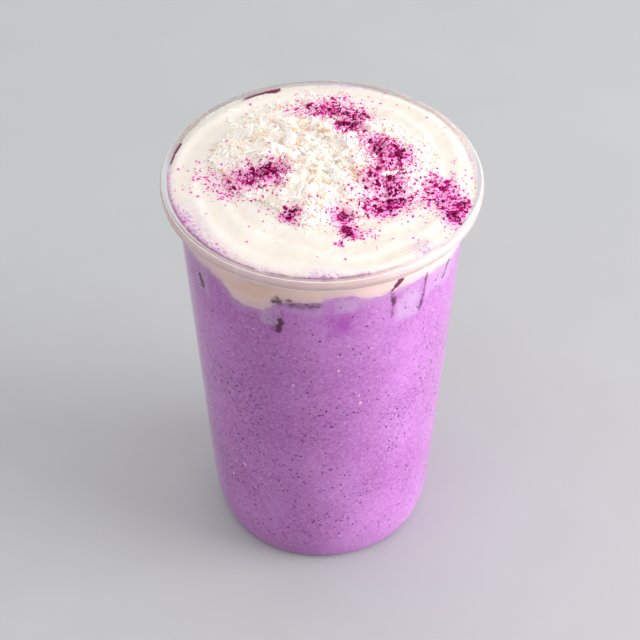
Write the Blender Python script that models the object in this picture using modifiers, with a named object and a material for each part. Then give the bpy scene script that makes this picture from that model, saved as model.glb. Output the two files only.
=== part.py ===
"""Taro bubble tea in a clear takeaway cup: purple taro milk, a cap of milk foam that fills the cup to
its rim, a heap of grated coconut, and clumps of purple yam powder dusted over both.

Metres, +Z up. The origin is on the cup's axis, at the floor. The front of the cup faces -Y, and an
azimuth is counted from the front, positive towards +X.
"""

import math
import random

import bmesh
import bpy
from mathutils import Euler, Matrix, Vector, noise

MM = 0.001
GAP = 0.3 * MM  # clearance between two pieces that touch
SAME = 0.1 * MM  # points this near in height or radius belong to the same edge of a profile
MERGE = 0.01 * MM  # points nearer than this are made one

# Cup: one turned sheet of clear plastic with a rolled rim
RIM_RADIUS = 45.0 * MM
CUP_HEIGHT = 122.5 * MM
WALL = 0.7 * MM
WALL_TOP_RADIUS = 41.1 * MM  # the outer wall line carried up to the rim's height
WALL_FOOT_RADIUS = 31.3 * MM  # the same line carried down to the floor
CORNER_WIDTH = 5.2 * MM  # half axes of the elliptic corner between wall and base
CORNER_HEIGHT = 25.0 * MM
FOOT_WIDTH = 3.4 * MM  # the flat ring that the cup stands on
PUNT_HEIGHT = 1.2 * MM
PUNT_SLOPE = 2.5 * MM  # radial width of the step from the foot ring up to the punt
NECK_HEIGHT = 6.0 * MM  # the wall flares out to the rim over this height
BEAD_RADIUS = 1.0 * MM  # the rolled rim is two of these high
LIP_RADIUS = 0.8 * MM  # rounding of the rim's inner edge
RIM_INNER_RADIUS = 42.7 * MM
CUP_STEPS = 44
CORNER_POINTS = 7
NECK_SPANS = 3
LIP_POINTS = 3
BEAD_POINTS = 7

# Drink: the line between milk and foam, as it shows through the wall
LAYER_HEIGHT = 110.6 * MM
LAYER_DIPS = (  # azimuth in degrees, half width in degrees, depth
    (-30.0, 11.5, 5.2 * MM),
    (7.0, 8.0, -2.2 * MM),
    (68.0, 10.0, 1.8 * MM),
    (135.0, 16.0, 4.2 * MM),
    (-140.0, 13.0, 3.0 * MM),
)
LAYER_RIPPLE = 0.4 * MM
LAYER_GAP = 0.5 * MM  # straight up from milk to foam, as the line is steep beside its dips
DRINK_STEPS = 48  # the same for milk and foam, whose meeting faces then match
LAYER_SHARES = (0.0, 0.55, 0.85, 1.0)  # rings of the meeting faces, as shares of their radius

# Foam: level with the rim, with the ridges of a spoon turned round in it
FOAM_EDGE_DROP = 0.5 * MM  # foam at the wall below the rim
FOAM_CROWN = 1.2 * MM  # foam at the axis above the rim
FOAM_EDGE_WIDTH = 2.2 * MM  # the curl where the foam meets the wall
SWIRL_ARMS = 3
SWIRL_SPACING = 6.7 * MM  # from one ridge to the next, outwards
SWIRL_DEPTH = 0.5 * MM
SWIRL_WANDER = 1.6 * MM  # the ridges stray from an even spiral by this much
SWIRL_WANDER_SIZE = 17.0 * MM
FOAM_RINGS = 13

# Heap of grated coconut
HEAP_RADIUS = 25.5 * MM
HEAP_WAVES = (4.0 * MM, 3.0 * MM, -2.0 * MM)  # rear reach, width over depth, and three lobes
HEAP_UNEVEN = 4.5 * MM  # ragged bays and tongues of the outline
HEAP_TONGUES = 2.4  # more of them round the outline as this grows
HEAP_HEIGHT = 6.2 * MM
HEAP_EDGE = 1.1 * MM  # thickness of the heap at its outline
HEAP_LUMPS = 2.6 * MM
HEAP_LUMP_SIZE = 5.5 * MM
HEAP_LUMP_SLICE = 5.0 * MM  # which slice of the noise the lumps are read from
HEAP_FULLNESS = 0.8  # under 1, the heap's sides are steeper and its top is flatter than a cap's
HEAP_MARGIN = 4.0 * MM  # the foam's ridges start this far outside the heap
HEAP_RINGS = 8
HEAP_STEPS = 40
SHRED_COUNT = 104
SHRED_LENGTH = (2.2 * MM, 5.2 * MM)
SHRED_WIDTH = (0.8 * MM, 1.5 * MM)
SHRED_THICKNESS = 0.7 * MM
SHRED_SPACING = 2.3 * MM
SHRED_TAPER = 0.6  # size of a strip's narrow end
SHRED_TILT = (0.5, 0.45)  # radians to either side, about its length and across it
SHRED_SPREAD = 0.93  # strips lie within this share of the outline's radius
TRIES_PER_SHRED = 60

# Powder: the largest clumps of each dusted patch, as (x, y, half length, half width, clumps), in mm
PATCHES_ON_FOAM = (
    (-33.5, -1.5, 6.0, 4.0, 8),
    (-23.0, -14.0, 7.0, 3.0, 4),
    (8.5, -26.0, 5.0, 4.0, 8),
    (33.5, -8.5, 6.0, 7.0, 13),
    (36.0, -16.0, 3.4, 3.0, 6),
    (4.0, 33.5, 9.0, 4.0, 7),
)
PATCHES_ON_HEAP = (
    (-15.0, -0.5, 5.0, 3.0, 6),
    (6.5, 21.0, 7.0, 4.0, 8),
    (20.0, 7.0, 5.0, 5.0, 8),
    (14.5, -10.0, 5.0, 5.0, 8),
)
CLUMP_RADIUS = (0.45 * MM, 0.95 * MM)
CLUMP_SPACING = 1.7 * MM
CLUMP_NARROWEST = 0.7  # width over length
CLUMP_THICKNESS = 0.75  # height over length
CLUMP_TURN = 3.0  # radians, the most that a clump is turned about each axis
CLUMP_TO_HEAP = 2.6 * MM  # clumps on the foam keep this far from the heap
CLUMP_TO_EDGE = 2.4 * MM  # and this far from the foam's edge
CLUMP_INSIDE_HEAP = 1.5 * MM  # clumps on the heap keep this far inside its outline
TRIES_PER_CLUMP = 80


def polar(azimuth, radius, z=0.0):
    """The point at this azimuth from the cup's front, in radians."""
    return Vector((radius * math.sin(azimuth), -radius * math.cos(azimuth), z))


def azimuth_of(x, y):
    return math.atan2(x, -y)


def arc(centre, half_r, half_z, start, end, count):
    """Points (r, z) along an ellipse, from start to end degrees, 0 outwards and 90 up."""
    points = []
    for i in range(count):
        angle = math.radians(start + (end - start) * i / (count - 1))
        points.append((centre[0] + half_r * math.cos(angle), centre[1] + half_z * math.sin(angle)))
    return points


def smooth(share):
    share = min(1.0, max(0.0, share))
    return share * share * (3.0 - 2.0 * share)


WALL_SLOPE = (WALL_TOP_RADIUS - WALL_FOOT_RADIUS) / CUP_HEIGHT
NECK_TOP_RADIUS = RIM_INNER_RADIUS + WALL
NECK_TOP = CUP_HEIGHT - 2.0 * BEAD_RADIUS
NECK_BOTTOM = CUP_HEIGHT - NECK_HEIGHT


def corner_centre():
    """Centre of the corner's ellipse, placed so that the straight wall is tangent to it."""
    lean = math.atan(WALL_SLOPE)
    reach = math.hypot(CORNER_WIDTH * math.cos(lean), CORNER_HEIGHT * math.sin(lean))
    return WALL_FOOT_RADIUS + CORNER_HEIGHT * WALL_SLOPE - reach / math.cos(lean), CORNER_HEIGHT


def outer_profile():
    """The cup's outer surface as (r, z), from the middle of the base to the underside of the rim."""
    centre = corner_centre()
    foot_inner = centre[0] - FOOT_WIDTH
    tangent = -math.degrees(math.atan(CORNER_HEIGHT / CORNER_WIDTH * WALL_SLOPE))
    points = [(0.0, PUNT_HEIGHT), (foot_inner - PUNT_SLOPE, PUNT_HEIGHT)]
    points += [(foot_inner - PUNT_SLOPE * 0.5, PUNT_HEIGHT * 0.5), (foot_inner, 0.0)]
    points += arc(centre, CORNER_WIDTH, CORNER_HEIGHT, -90.0, tangent, CORNER_POINTS)
    wall_top = WALL_FOOT_RADIUS + NECK_BOTTOM * WALL_SLOPE
    for i in range(NECK_SPANS + 1):
        share = i / NECK_SPANS
        radius = wall_top + (NECK_TOP_RADIUS - wall_top) * smooth(share)
        points.append((radius, NECK_BOTTOM + (NECK_TOP - NECK_BOTTOM) * share))
    return points


def inset_profile(inset):
    """The outer profile moved into the cup by inset, at right angles to the sheet."""
    points = outer_profile()
    moved = []
    for i, (r, z) in enumerate(points):
        before, after = points[max(i - 1, 0)], points[min(i + 1, len(points) - 1)]
        along = Vector((after[0] - before[0], after[1] - before[1])).normalized()
        moved.append((max(r - along.y * inset, 0.0), z + along.x * inset))
    moved[0] = (0.0, points[0][1] + inset)
    return moved


def radius_at(profile, z):
    """Radius of a wall profile at height z, above the base corner."""
    for (r0, z0), (r1, z1) in zip(profile[4:], profile[5:]):
        if z0 <= z <= z1:
            return r0 + (r1 - r0) * (z - z0) / (z1 - z0)
    return profile[-1][0]


def rim_profile():
    """The rolled rim, from the top of the inner wall over to the rim's underside."""
    lip = (RIM_INNER_RADIUS + LIP_RADIUS, CUP_HEIGHT - LIP_RADIUS)
    bead = (RIM_RADIUS - BEAD_RADIUS, CUP_HEIGHT - BEAD_RADIUS)
    over_lip = arc(lip, LIP_RADIUS, LIP_RADIUS, 180.0, 90.0, LIP_POINTS)
    return over_lip + arc(bead, BEAD_RADIUS, BEAD_RADIUS, 90.0, -90.0, BEAD_POINTS)


CONTENTS_PROFILE = inset_profile(WALL + GAP)


def layer_height(azimuth):
    """Height of the line between milk and foam at the wall: level, with dips where foam has sunk."""
    degrees = math.degrees(azimuth)
    height = LAYER_HEIGHT + LAYER_RIPPLE * (math.sin(3 * azimuth + 0.6) + 0.5 * math.sin(11 * azimuth))
    for middle, half_width, depth in LAYER_DIPS:
        away = (degrees - middle + 180.0) % 360.0 - 180.0
        height -= depth * math.exp(-((away / half_width) ** 4))
    return height


def layer_at(azimuth, radius):
    """The layer's surface inside the cup, flat at the axis and as layer_height at the wall."""
    share = min(1.0, radius / radius_at(CONTENTS_PROFILE, LAYER_HEIGHT))
    return LAYER_HEIGHT + (layer_height(azimuth) - LAYER_HEIGHT) * share * share


def heap_outline(azimuth):
    """Radius of the heap's ragged outline, widest to both sides at the rear."""
    radius = HEAP_RADIUS + HEAP_UNEVEN * noise.noise(polar(azimuth, HEAP_TONGUES))
    for turns, wave in enumerate(HEAP_WAVES, start=1):
        radius -= wave * math.cos(turns * azimuth)
    return radius


def foam_top(x, y):
    """The foam's upper surface: a low crown with spiral ridges, pressed smooth under the heap."""
    radius, azimuth = math.hypot(x, y), azimuth_of(x, y)
    share = radius / RIM_INNER_RADIUS
    wander = SWIRL_WANDER * noise.noise(Vector((x, y, 0.0)) / SWIRL_WANDER_SIZE)
    turns = (radius + wander) / SWIRL_SPACING - SWIRL_ARMS * azimuth / (2 * math.pi)
    ridge = 0.5 + 0.5 * math.cos(2 * math.pi * turns)
    open_foam = smooth((radius - heap_outline(azimuth)) / HEAP_MARGIN)
    height = CUP_HEIGHT + FOAM_CROWN * (1.0 - share * share)
    height -= SWIRL_DEPTH * (1.0 - ridge * ridge) * open_foam
    to_wall = (RIM_INNER_RADIUS - GAP - radius) / FOAM_EDGE_WIDTH
    return height - FOAM_EDGE_DROP * (1.0 - smooth(to_wall))


def heap_top(x, y):
    """The heap's upper surface, inside its outline."""
    share = math.hypot(x, y) / heap_outline(azimuth_of(x, y))
    rise = HEAP_EDGE + (HEAP_HEIGHT - HEAP_EDGE) * max(0.0, 1.0 - share**2) ** HEAP_FULLNESS
    spot = Vector((x, y, HEAP_LUMP_SLICE)) / HEAP_LUMP_SIZE
    lumps = HEAP_LUMPS * noise.noise(spot) * (1.0 - share**4)
    return foam_top(x, y) + GAP + rise + lumps


def clear_scene():
    for obj in list(bpy.data.objects):
        bpy.data.objects.remove(obj)


def material(name, colour, roughness, transmission=0.0):
    made = bpy.data.materials.new(name)
    made.use_nodes = True
    shader = made.node_tree.nodes["Principled BSDF"]
    shader.inputs["Base Color"].default_value = (*colour, 1.0)
    shader.inputs["Roughness"].default_value = roughness
    shader.inputs["Transmission Weight"].default_value = transmission
    return made


def turned(name, profile, steps, finish, collection):
    """A solid turned about Z. The profile runs from the axis to the axis, down its outer side."""
    mesh = bpy.data.meshes.new(name)
    edges = [(i, i + 1) for i in range(len(profile) - 1)]
    mesh.from_pydata([(r, 0.0, z) for r, z in profile], edges, [])
    obj = bpy.data.objects.new(name, mesh)
    collection.objects.link(obj)
    screw = obj.modifiers.new("turn", "SCREW")
    screw.steps = screw.render_steps = steps
    screw.use_merge_vertices = True
    screw.merge_threshold = MERGE
    screw.use_smooth_shade = True
    mesh.materials.append(finish)
    return obj


def as_mesh(obj):
    """Puts the object's evaluated mesh in place of its modifiers, with the axis points made one."""
    graph = bpy.context.evaluated_depsgraph_get()
    mesh = bpy.data.meshes.new_from_object(obj.evaluated_get(graph))
    obj.modifiers.clear()
    obj.data = mesh
    shape = bmesh.new()
    shape.from_mesh(mesh)
    bmesh.ops.remove_doubles(shape, verts=shape.verts, dist=MERGE)
    shape.to_mesh(mesh)
    shape.free()


def move_points(obj, place):
    """Moves each point of the mesh to place(azimuth, radius, z)."""
    for vertex in obj.data.vertices:
        x, y, z = vertex.co
        vertex.co = place(azimuth_of(x, y), math.hypot(x, y), z)
    obj.data.update()


def largest_shell(obj):
    """Keeps the largest closed shell: a union may leave a loose scrap, or seal a small hollow."""
    shape = bmesh.new()
    shape.from_mesh(obj.data)
    bmesh.ops.remove_doubles(shape, verts=shape.verts, dist=MERGE / 5)
    bmesh.ops.dissolve_degenerate(shape, dist=MERGE / 5, edges=shape.edges)
    waiting, shells = set(shape.faces), []
    while waiting:
        edge_of_shell = [waiting.pop()]
        shell = list(edge_of_shell)
        while edge_of_shell:
            face = edge_of_shell.pop()
            for neighbour in {other for edge in face.edges for other in edge.link_faces} & waiting:
                waiting.discard(neighbour)
                edge_of_shell.append(neighbour)
                shell.append(neighbour)
        shells.append(shell)
    shells.sort(key=len)
    scraps = [face for shell in shells[:-1] for face in shell]
    bmesh.ops.delete(shape, geom=scraps, context="FACES")
    shape.to_mesh(obj.data)
    shape.free()


def fuse(core, pieces):
    """Joins every object of the collection to the core, and removes them."""
    join = core.modifiers.new("join", "BOOLEAN")
    join.operation = "UNION"
    join.operand_type = "COLLECTION"
    join.collection = pieces
    join.solver = "MANIFOLD"
    bpy.context.view_layer.update()
    graph = bpy.context.evaluated_depsgraph_get()
    mesh = bpy.data.meshes.new_from_object(core.evaluated_get(graph))
    core.modifiers.clear()
    core.data = mesh
    for piece in list(pieces.objects):
        bpy.data.objects.remove(piece)
    bpy.data.collections.remove(pieces)
    largest_shell(core)


def new_collection(name):
    made = bpy.data.collections.new(name)
    bpy.context.scene.collection.children.link(made)
    return made


def keep_apart(spot, others, spacing):
    return all((spot - other).length > spacing for other in others)


def shred_mesh():
    """One strip of coconut: a bevel-free bar of unit size, tapered to one end."""
    mesh = bpy.data.meshes.new("shred")
    shape = bmesh.new()
    bmesh.ops.create_cube(shape, size=1.0)
    for vertex in shape.verts:
        if vertex.co.x > 0.0:
            vertex.co.yz *= SHRED_TAPER
    shape.to_mesh(mesh)
    shape.free()
    return mesh


def clump_mesh():
    """One clump of powder: a round grain of unit radius."""
    mesh = bpy.data.meshes.new("clump")
    shape = bmesh.new()
    bmesh.ops.create_icosphere(shape, subdivisions=1, radius=1.0)
    shape.to_mesh(mesh)
    shape.free()
    return mesh


def scatter_shreds(pieces, draw):
    """Lays strips of coconut over the heap, each half sunk in it and clear of the foam."""
    mesh, spots = shred_mesh(), []
    for _ in range(SHRED_COUNT * TRIES_PER_SHRED):
        if len(spots) == SHRED_COUNT:
            break
        azimuth = draw.uniform(-math.pi, math.pi)
        radius = heap_outline(azimuth) * math.sqrt(draw.random()) * SHRED_SPREAD
        spot = polar(azimuth, radius)
        spot.z = heap_top(spot.x, spot.y)
        length, width = draw.uniform(*SHRED_LENGTH), draw.uniform(*SHRED_WIDTH)
        tilts = [draw.uniform(-most, most) for most in SHRED_TILT]
        turn = Euler((*tilts, draw.uniform(0, math.tau)))
        size = Matrix.Diagonal((length, width, SHRED_THICKNESS, 1.0))
        place = Matrix.Translation(spot) @ turn.to_matrix().to_4x4() @ size
        corners = [place @ vertex.co for vertex in mesh.vertices]
        clear = all(corner.z > foam_top(corner.x, corner.y) + 2 * GAP for corner in corners)
        if not clear or not keep_apart(spot, spots, SHRED_SPACING):
            continue
        shred = bpy.data.objects.new("shred", mesh)
        shred.matrix_world = place
        pieces.objects.link(shred)
        spots.append(spot)


def scatter_clumps(pieces, patches, surface, allowed, draw):
    """Puts clumps of powder on a surface, each sunk by half, more of them near a patch's middle."""
    mesh, spots = clump_mesh(), []
    for x, y, half_length, half_width, count in patches:
        left = count
        for _ in range(count * TRIES_PER_CLUMP):
            if not left:
                break
            spot = Vector((draw.gauss(x, half_length / 2), draw.gauss(y, half_width / 2), 0.0)) * MM
            radius = draw.uniform(*CLUMP_RADIUS)
            spot.z = surface(spot.x, spot.y)
            if not allowed(spot.x, spot.y) or not keep_apart(spot, spots, CLUMP_SPACING):
                continue
            turn = Euler([draw.uniform(0, CLUMP_TURN) for _ in range(3)])
            width = radius * draw.uniform(CLUMP_NARROWEST, 1.0)
            size = Matrix.Diagonal((radius, width, radius * CLUMP_THICKNESS, 1.0))
            clump = bpy.data.objects.new("clump", mesh)
            clump.matrix_world = Matrix.Translation(spot) @ turn.to_matrix().to_4x4() @ size
            pieces.objects.link(clump)
            spots.append(spot)
            left -= 1


def make_cup(collection):
    """The cup: inner surface from the middle of the base up, over the rim, and down the outside."""
    profile = inset_profile(WALL) + rim_profile() + outer_profile()[::-1]
    clear_plastic = material("clear_plastic", (0.93, 0.95, 0.97), 0.05, 1.0)
    return turned("cup", profile, CUP_STEPS, clear_plastic, collection)


def make_milk(collection):
    """The drink: it fills the cup to the layer line, and its wavy top carries the foam."""
    below = [point for point in CONTENTS_PROFILE if point[1] < LAYER_HEIGHT]
    top = radius_at(CONTENTS_PROFILE, LAYER_HEIGHT)
    surface = [(top * share, LAYER_HEIGHT) for share in LAYER_SHARES]
    taro = material("taro_milk", (0.46, 0.19, 0.50), 0.35)
    milk = turned("taro_milk", surface + below[::-1], DRINK_STEPS, taro, collection)
    as_mesh(milk)

    def place(azimuth, radius, z):
        if z < LAYER_HEIGHT - SAME:
            return polar(azimuth, radius, z)
        height = layer_at(azimuth, radius) - LAYER_GAP / 2
        if radius > top - SAME:
            radius = radius_at(CONTENTS_PROFILE, height)
        return polar(azimuth, radius, height)

    move_points(milk, place)
    return milk


def make_foam(collection):
    """The cap of milk foam, from the layer line to the rim, with clumps of powder stuck to it."""
    edge = RIM_INNER_RADIUS - GAP
    wall = [point for point in CONTENTS_PROFILE if point[1] > NECK_BOTTOM - SAME]
    layer = radius_at(CONTENTS_PROFILE, LAYER_HEIGHT)
    top = [(edge * i / FOAM_RINGS, CUP_HEIGHT) for i in range(FOAM_RINGS)]
    top += [(edge - FOAM_EDGE_WIDTH * 0.3, CUP_HEIGHT), (edge, CUP_HEIGHT)]
    bottom = [(layer * share, LAYER_HEIGHT) for share in LAYER_SHARES[::-1]]
    cream = material("milk_foam", (0.93, 0.87, 0.76), 0.4)
    foam = turned("milk_foam", top + wall[::-1] + bottom, DRINK_STEPS, cream, collection)
    as_mesh(foam)

    def place(azimuth, radius, z):
        if z > CUP_HEIGHT - SAME:
            spot = polar(azimuth, radius)
            return polar(azimuth, radius, foam_top(spot.x, spot.y))
        if z > LAYER_HEIGHT + SAME:
            return polar(azimuth, radius, z)
        height = layer_at(azimuth, radius) + LAYER_GAP / 2
        if radius > layer - SAME:
            radius = radius_at(CONTENTS_PROFILE, height)
        return polar(azimuth, radius, height)

    move_points(foam, place)
    pieces = new_collection("powder on the foam")

    def on_open_foam(x, y):
        radius = math.hypot(x, y)
        return heap_outline(azimuth_of(x, y)) + CLUMP_TO_HEAP < radius < edge - CLUMP_TO_EDGE

    scatter_clumps(pieces, PATCHES_ON_FOAM, foam_top, on_open_foam, random.Random(11))
    fuse(foam, pieces)
    return foam


def make_heap(collection):
    """The heap of grated coconut: a lumpy core with the strips and clumps that show fused on."""
    blank_height = 10.0 * MM
    rings = [i / HEAP_RINGS for i in range(HEAP_RINGS)]
    top = [(HEAP_RADIUS * share, CUP_HEIGHT + blank_height) for share in rings]
    rim = [(HEAP_RADIUS, CUP_HEIGHT + blank_height), (HEAP_RADIUS, CUP_HEIGHT)]
    bottom = [(HEAP_RADIUS * share, CUP_HEIGHT) for share in rings[::-1]]
    white = material("grated_coconut", (0.93, 0.88, 0.79), 0.6)
    heap = turned("grated_coconut", top + rim + bottom, HEAP_STEPS, white, collection)
    as_mesh(heap)

    def place(azimuth, radius, z):
        spot = polar(azimuth, radius / HEAP_RADIUS * heap_outline(azimuth))
        over = z > CUP_HEIGHT + blank_height / 2
        spot.z = heap_top(spot.x, spot.y) if over else foam_top(spot.x, spot.y) + GAP
        return spot

    move_points(heap, place)
    pieces = new_collection("strips on the heap")

    def inside_outline(x, y):
        return math.hypot(x, y) < heap_outline(azimuth_of(x, y)) - CLUMP_INSIDE_HEAP

    scatter_shreds(pieces, random.Random(5))
    scatter_clumps(pieces, PATCHES_ON_HEAP, heap_top, inside_outline, random.Random(23))
    fuse(heap, pieces)
    return heap


def main():
    clear_scene()
    drink = new_collection("taro bubble tea")
    make_cup(drink)
    make_milk(drink)
    make_foam(drink)
    make_heap(drink)


main()
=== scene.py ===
"""Taro bubble tea in a clear takeaway cup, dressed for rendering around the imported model.

Metres, +Z up, the cup's axis at the origin and its front facing -Y. An azimuth is counted from the
front, positive towards +X. The sections follow the drink as it is put together, from the cup up.
"""

import math

import bmesh
import bpy
import numpy as np
from mathutils import Euler, Matrix, Vector, noise


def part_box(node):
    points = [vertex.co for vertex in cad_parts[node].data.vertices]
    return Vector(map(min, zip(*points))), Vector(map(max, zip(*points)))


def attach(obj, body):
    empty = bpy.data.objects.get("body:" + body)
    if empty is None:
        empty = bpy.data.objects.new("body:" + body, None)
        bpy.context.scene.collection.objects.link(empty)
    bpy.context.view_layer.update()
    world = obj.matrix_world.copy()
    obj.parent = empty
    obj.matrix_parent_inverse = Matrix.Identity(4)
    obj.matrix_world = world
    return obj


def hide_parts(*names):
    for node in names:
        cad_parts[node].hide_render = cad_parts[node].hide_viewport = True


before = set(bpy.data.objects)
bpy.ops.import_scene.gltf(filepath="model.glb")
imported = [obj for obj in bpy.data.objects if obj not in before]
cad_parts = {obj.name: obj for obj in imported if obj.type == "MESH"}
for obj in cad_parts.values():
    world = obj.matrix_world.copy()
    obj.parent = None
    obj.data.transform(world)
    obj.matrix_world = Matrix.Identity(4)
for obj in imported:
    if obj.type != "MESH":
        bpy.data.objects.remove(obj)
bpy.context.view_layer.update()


# The clear cup: one sheet of PET drawn over a mould with a round-cornered base. Its upper edge is
# rolled outwards and pressed tight into a collar that a lid would snap onto.
MM = 0.001
RIM_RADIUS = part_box("cup")[1].x
CUP_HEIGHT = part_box("cup")[1].z
SHEET = 0.5 * MM
WALL_TOP_RADIUS = RIM_RADIUS - 3.9 * MM  # the wall's line carried up to the rim's height
WALL_FOOT_RADIUS = RIM_RADIUS - 13.7 * MM  # the same line carried down to the floor
WALL_SLOPE = (WALL_TOP_RADIUS - WALL_FOOT_RADIUS) / CUP_HEIGHT
CORNER_WIDTH = 5.2 * MM
CORNER_HEIGHT = 25.0 * MM
FOOT_WIDTH = 3.4 * MM  # the flat ring that the cup stands on
PUNT_HEIGHT = 1.2 * MM
PUNT_SLOPE = 2.5 * MM
NECK_BOTTOM = CUP_HEIGHT - 6.0 * MM  # the wall flares out to the collar from here
NECK_TOP = CUP_HEIGHT - 2.2 * MM
CURL_RADIUS = 1.15 * MM
CURL_CENTRE = (RIM_RADIUS - CURL_RADIUS, CUP_HEIGHT - CURL_RADIUS)
COLLAR_BOTTOM = CUP_HEIGHT - 3.3 * MM
COLLAR_TAPER = 0.2 * MM
COLLAR_LIP = 0.4 * MM  # radius of its rounded lower edge
EDGE_HIGHLIGHT = (0.42, 0.62)  # where a pale line of painted highlight runs round the curl, in shares of its radius
ROLL_POINTS = 26
LIP_POINTS = 9
CUP_STEPS = 320
PUNT_POINTS = 9  # points of the profile along each part of the wall
CORNER_POINTS = 28
WALL_POINTS = 40
NECK_POINTS = 12
CURL_LOOK, HIGHLIGHT_LOOK = 1, 2  # places of the cup's second and third material; the third, whiter, paints highlight lines


class Wire:
    """An output of a node. A sum written with wires adds the Math nodes that it needs."""

    def __init__(self, maker, socket):
        self.maker = maker
        self.socket = socket

    def math(self, operation, *others):
        return self.maker.node("ShaderNodeMath", {"operation": operation}, dict(enumerate((self, *others))))

    def __add__(self, other):
        return self.math("ADD", other)

    def __sub__(self, other):
        return self.math("SUBTRACT", other)

    def __rsub__(self, other):
        return self.maker.node("ShaderNodeMath", {"operation": "SUBTRACT"}, {0: other, 1: self})

    def __mul__(self, other):
        return self.math("MULTIPLY", other)

    __radd__ = __add__
    __rmul__ = __mul__

    def rise(self, low, high):
        """0 at low and 1 at high, smooth between; low may be the larger of the two."""
        if low > high:
            return 1.0 - self.rise(high, low)
        ends = {"Value": self, "From Min": low, "From Max": high}
        return self.maker.node("ShaderNodeMapRange", {"interpolation_type": "SMOOTHSTEP"}, ends)


class Maker:
    """Adds nodes to a tree of shader or geometry nodes."""

    def __init__(self, tree):
        self.tree = tree

    def node(self, kind, settings=None, inputs=None, output=0):
        """A node with its settings made first, then its inputs, by name or place. Returns one output."""
        made = self.tree.nodes.new(kind)
        for name, value in (settings or {}).items():
            setattr(made, name, value)
        for name, value in (inputs or {}).items():
            if isinstance(value, Wire):
                self.tree.links.new(value.socket, made.inputs[name])
            else:
                made.inputs[name].default_value = value
        return Wire(self, made.outputs[output]) if made.outputs else made


class Finish(Maker):
    """A material made of shader nodes. Sizes are in metres."""

    def __init__(self, name):
        self.material = bpy.data.materials.new(name)
        self.material.use_nodes = True
        super().__init__(self.material.node_tree)
        self.tree.nodes.clear()
        self.place = self.node("ShaderNodeTexCoord", output="Object")

    def mask(self, name):
        """A value kept on the mesh's points."""
        return self.node("ShaderNodeAttribute", {"attribute_name": name}, output="Fac")

    def clouds(self, size, detail=3.0, roughness=0.5):
        """Soft noise from 0 to 1 with patches of about this size."""
        inputs = {"Vector": self.place, "Scale": 1.0 / size, "Detail": detail, "Roughness": roughness}
        return self.node("ShaderNodeTexNoise", {}, inputs)

    def cells(self, size):
        """Distance from the middle of the nearest of many cells, as a share of their size."""
        return self.node("ShaderNodeTexVoronoi", {}, {"Vector": self.place, "Scale": 1.0 / size})

    def near(self, point, reach):
        """1 at a point, falling to 0 at this distance from it."""
        inputs = {0: self.place, 1: point}
        away = self.node("ShaderNodeVectorMath", {"operation": "DISTANCE"}, inputs, "Value")
        return away.rise(reach, 0.0)

    def blend(self, share, first, second):
        """Two colours mixed by a share from 0 to 1."""
        return self.node("ShaderNodeMix", {"data_type": "RGBA"}, {0: share, 6: first, 7: second}, 2)

    def with_ice_shade(self, colour):
        """A colour with dark streaks of painted shade where the edges of ice touch the wall."""
        dark = (self.mask("ice") + (self.clouds(0.8 * MM, 3.0) - 0.5) * 0.6).rise(0.15, 0.95)
        return self.blend(dark * 0.93, colour, rgb(82, 0, 58))

    def bump(self, height, distance):
        """A bumpy normal, raised by this distance where the height is 1."""
        return self.node("ShaderNodeBump", {}, {"Height": height, "Distance": distance, "Strength": 1.0})

    def principled(self, **inputs):
        return self.node("ShaderNodeBsdfPrincipled", {}, {k.replace("_", " "): v for k, v in inputs.items()})

    def done(self, surface):
        self.node("ShaderNodeOutputMaterial", {}, {"Surface": surface})
        return self.material


def rgb(red, green, blue):
    """A colour for a node, from the 0 to 255 values in which it was judged."""
    channels = [c / 255.0 for c in (red, green, blue)]
    return (*[c / 12.92 if c <= 0.04045 else ((c + 0.055) / 1.055) ** 2.4 for c in channels], 1.0)


def arc(centre, half_r, half_z, start, end, count):
    """Points (r, z) along an ellipse, from start to end degrees, 0 outwards and 90 up."""
    angle = np.radians(np.linspace(start, end, count))
    return np.stack([centre[0] + half_r * np.cos(angle), centre[1] + half_z * np.sin(angle)], axis=1)


def smooth(share):
    share = np.clip(share, 0.0, 1.0)
    return share * share * (3.0 - 2.0 * share)


def wall_outside():
    """The cup's outer surface as (r, z), from the middle of the base up to the foot of the curl."""
    lean = math.atan(WALL_SLOPE)
    reach = math.hypot(CORNER_WIDTH * math.cos(lean), CORNER_HEIGHT * math.sin(lean))
    centre = (WALL_FOOT_RADIUS + CORNER_HEIGHT * WALL_SLOPE - reach / math.cos(lean), CORNER_HEIGHT)
    tangent = -math.degrees(math.atan(CORNER_HEIGHT / CORNER_WIDTH * WALL_SLOPE))
    foot_inner = centre[0] - FOOT_WIDTH
    step = np.linspace(0.0, 1.0, PUNT_POINTS)
    punt = np.stack([foot_inner - PUNT_SLOPE * (1.0 - step), PUNT_HEIGHT * (1.0 - smooth(step))], axis=1)
    corner = arc(centre, CORNER_WIDTH, CORNER_HEIGHT, -90.0, tangent, CORNER_POINTS)
    wall_z = np.linspace(corner[-1, 1], NECK_BOTTOM, WALL_POINTS)[1:]
    wall = np.stack([WALL_FOOT_RADIUS + wall_z * WALL_SLOPE, wall_z], axis=1)
    step = np.linspace(0.0, 1.0, NECK_POINTS)[1:]
    top_radius = CURL_CENTRE[0] - CURL_RADIUS + SHEET
    neck_r = wall[-1, 0] + (top_radius - wall[-1, 0]) * smooth(step)
    neck = np.stack([neck_r, NECK_BOTTOM + (NECK_TOP - NECK_BOTTOM) * step], axis=1)
    return np.concatenate([[(0.0, PUNT_HEIGHT)], punt, corner, wall, neck])


def moved_in(profile, distance):
    """A wall profile moved into the cup, at right angles to the sheet."""
    along = np.gradient(profile, axis=0)
    along /= np.linalg.norm(along, axis=1)[:, None]
    moved = profile + distance * np.stack([-along[:, 1], along[:, 0]], axis=1)
    moved[0] = (0.0, profile[0, 1] + distance)
    return moved


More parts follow.
